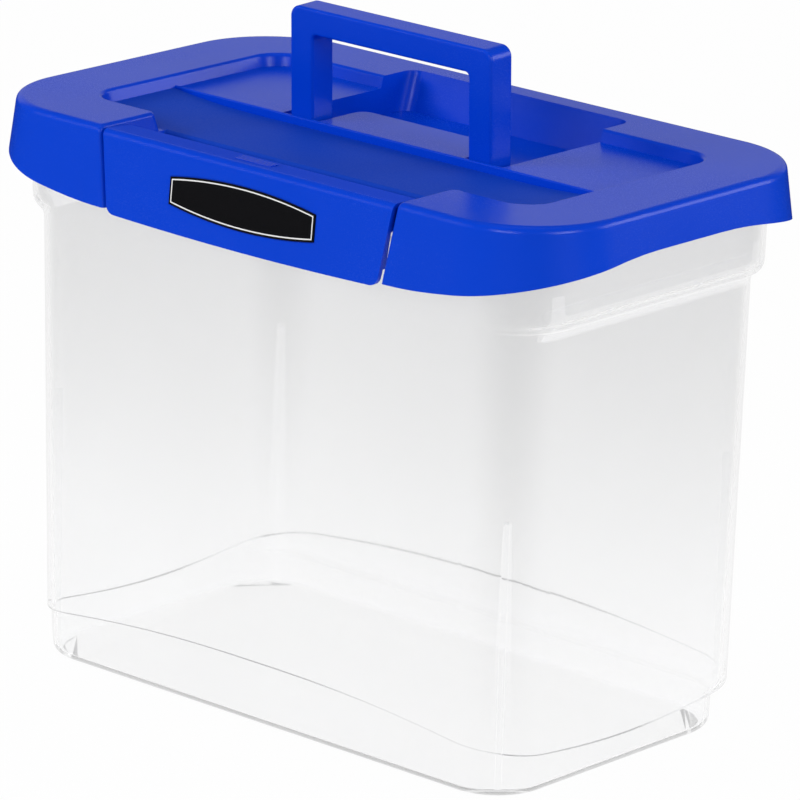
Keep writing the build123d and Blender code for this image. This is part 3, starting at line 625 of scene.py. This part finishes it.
class FILEBOX_OT_tub(bpy.types.Operator):
    """Finish the tub in clear plastic"""

    bl_idname = "filebox.tub"
    bl_label = "Tub"

    def execute(self, context):
        plastic = context.scene.file_box_plastic
        clear = clear_plastic(
            "clear_plastic",
            clear_skin_group(bpy.data.node_groups["moulded_skin"]),
            plastic.tub_colour,
            plastic.tub_rim_painted_shade,
            plastic.tub_corner_painted_shade,
            plastic.tub_roughness,
        )
        dress(NODES["tub"], clear)
        return {"FINISHED"}


class FILEBOX_OT_latch_details(bpy.types.Operator):
    """Add the fine grip ribs on the latch's top and the walls behind its two ends"""

    bl_idname = "filebox.latch_details"
    bl_label = "Latch details"

    def execute(self, context):
        x, y, z = GRIP_MIDDLE
        grip = blocks("latch_grip", [(x, y + step * GRIP_PITCH, z) for step in GRIP_STEPS], GRIP_SIZE)
        for piece in (grip, latch_returns()):
            dress(piece, bpy.data.materials["blue_plastic"])
            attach(piece, "latch")
        return {"FINISHED"}


class FILEBOX_OT_label(bpy.types.Operator):
    """Make the black label with its printed border line, left without lettering"""

    bl_idname = "filebox.label"
    bl_label = "Label"

    def execute(self, context):
        plastic = context.scene.file_box_plastic
        group = bpy.data.node_groups["moulded_skin"]
        black = moulded_plastic("label_black", group, (0.006, 0.006, 0.007), 0.16, LABEL_SKIN)
        white = moulded_plastic("label_line", group, (0.8, 0.8, 0.8), 0.3, LABEL_SKIN)
        label = label_with_border(plastic.border_inset, plastic.border_width, black, white)
        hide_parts("label")
        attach(label, "latch")
        return {"FINISHED"}


class FILEBOX_OT_stage(bpy.types.Operator):
    """Set up the floor, the soft studio light and the camera"""

    bl_idname = "filebox.stage"
    bl_label = "Stage"

    def execute(self, context):
        stage = context.scene.file_box_stage
        bpy.ops.object.select_all(action="DESELECT")
        bpy.ops.mesh.primitive_plane_add(size=FLOOR_SIZE, location=(0, 0, 0))
        floor = context.object
        floor.name = "floor"
        material, shader, output = new_material("floor_white")
        nodes, links = material.node_tree.nodes, material.node_tree.links
        shader.inputs["Base Color"].default_value = (0.8, 0.8, 0.8, 1)
        shader.inputs["Roughness"].default_value = 0.9
        shader.inputs["Specular IOR Level"].default_value = 0.0
        glow = nodes.new("ShaderNodeEmission")
        glow.inputs["Color"].default_value = (1, 1, 1, 1)
        rays = nodes.new("ShaderNodeLightPath")
        direct = nodes.new("ShaderNodeMath")
        direct.operation = "MULTIPLY"
        direct.inputs[1].default_value = 0.975
        links.new(rays.outputs["Is Camera Ray"], direct.inputs[0])
        share = nodes.new("ShaderNodeMath")
        share.operation = "MAXIMUM"
        links.new(direct.outputs[0], share.inputs[0])
        links.new(rays.outputs["Is Transmission Ray"], share.inputs[1])
        dark = nodes.new("ShaderNodeBsdfDiffuse")
        dark.inputs["Color"].default_value = (0.03, 0.03, 0.03, 1)
        plain = nodes.new("ShaderNodeMixShader")
        links.new(rays.outputs["Is Glossy Ray"], plain.inputs["Fac"])
        links.new(shader.outputs["BSDF"], plain.inputs[1])
        links.new(dark.outputs["BSDF"], plain.inputs[2])
        mix = nodes.new("ShaderNodeMixShader")
        links.new(share.outputs[0], mix.inputs["Fac"])
        links.new(plain.outputs["Shader"], mix.inputs[1])
        links.new(glow.outputs["Emission"], mix.inputs[2])
        links.new(mix.outputs["Shader"], output.inputs["Surface"])
        dress(floor, material)

        world = bpy.data.worlds.new("studio")
        context.scene.world = world
        world.use_nodes = True
        nodes, links = world.node_tree.nodes, world.node_tree.links
        back = nodes["Background"]
        back.inputs["Color"].default_value = (1, 1, 1, 1)
        rays = nodes.new("ShaderNodeLightPath")
        strength = nodes.new("ShaderNodeMix")
        strength.data_type = "FLOAT"
        seen = nodes.new("ShaderNodeMath")
        seen.operation = "MAXIMUM"
        links.new(rays.outputs["Is Camera Ray"], seen.inputs[0])
        links.new(rays.outputs["Is Transmission Ray"], seen.inputs[1])
        links.new(seen.outputs[0], strength.inputs[0])
        strength.inputs[2].default_value = 0.35
        strength.inputs[3].default_value = 1.0
        reflected = nodes.new("ShaderNodeMix")
        reflected.data_type = "FLOAT"
        links.new(rays.outputs["Is Glossy Ray"], reflected.inputs[0])
        links.new(strength.outputs[0], reflected.inputs[2])
        reflected.inputs[3].default_value = 0.06
        links.new(reflected.outputs[0], back.inputs["Strength"])

        for name, place, size, power, mirrored in LAMPS:
            bpy.ops.object.light_add(type="AREA", location=place)
            lamp = context.object
            lamp.name = name
            lamp.data.shape = "RECTANGLE"
            lamp.data.size, lamp.data.size_y = size
            lamp.data.energy = power
            lamp.visible_camera = False
            lamp.visible_transmission = False
            lamp.visible_glossy = mirrored
            lamp.rotation_euler = (AIM - Vector(place)).to_track_quat("-Z", "Y").to_euler()

        azimuth, elevation, roll = stage.azimuth, stage.elevation, stage.roll
        ahead = Vector((-sin(azimuth) * cos(elevation), cos(azimuth) * cos(elevation), -sin(elevation)))
        level = Vector((cos(azimuth), sin(azimuth), 0))
        upright = level.cross(ahead)
        across = level * cos(roll) + upright * sin(roll)
        up = upright * cos(roll) - level * sin(roll)
        data = bpy.data.cameras.new("camera")
        camera = bpy.data.objects.new("camera", data)
        context.scene.collection.objects.link(camera)
        data.sensor_width = 36.0
        data.lens = stage.focal_length
        turn = Matrix((across, up, -ahead)).transposed().to_4x4()
        camera.matrix_world = Matrix.Translation(Vector(stage.camera_place)) @ turn
        context.scene.camera = camera
        return {"FINISHED"}


class FILEBOX_PT_panel(bpy.types.Panel):
    """Lists the file box's settings and steps."""

    bl_label = "File box"
    bl_idname = "FILEBOX_PT_panel"
    bl_space_type = "VIEW_3D"
    bl_region_type = "UI"
    bl_category = "File box"

    def draw(self, context):
        for group in (context.scene.file_box_plastic, context.scene.file_box_stage):
            for name in group.bl_rna.properties.keys():
                if name not in {"rna_type", "name"}:
                    self.layout.prop(group, name)
        for step in STEPS:
            self.layout.operator(step.bl_idname)


STEPS = (
    FILEBOX_OT_blue_parts,
    FILEBOX_OT_tub,
    FILEBOX_OT_latch_details,
    FILEBOX_OT_label,
    FILEBOX_OT_stage,
)
CLASSES = (FileBoxPlastic, FileBoxStage, *STEPS, FILEBOX_PT_panel)


def register():
    for cls in CLASSES:
        bpy.utils.register_class(cls)
    bpy.types.Scene.file_box_plastic = PointerProperty(type=FileBoxPlastic)
    bpy.types.Scene.file_box_stage = PointerProperty(type=FileBoxStage)


def unregister():
    del bpy.types.Scene.file_box_stage
    del bpy.types.Scene.file_box_plastic
    for cls in reversed(CLASSES):
        bpy.utils.unregister_class(cls)


def main():
    register()
    bpy.context.scene.view_settings.view_transform = "Standard"
    bpy.ops.filebox.blue_parts()
    bpy.ops.filebox.tub()
    bpy.ops.filebox.latch_details()
    bpy.ops.filebox.label()
    bpy.ops.filebox.stage()


if __name__ == "__main__":
    main()
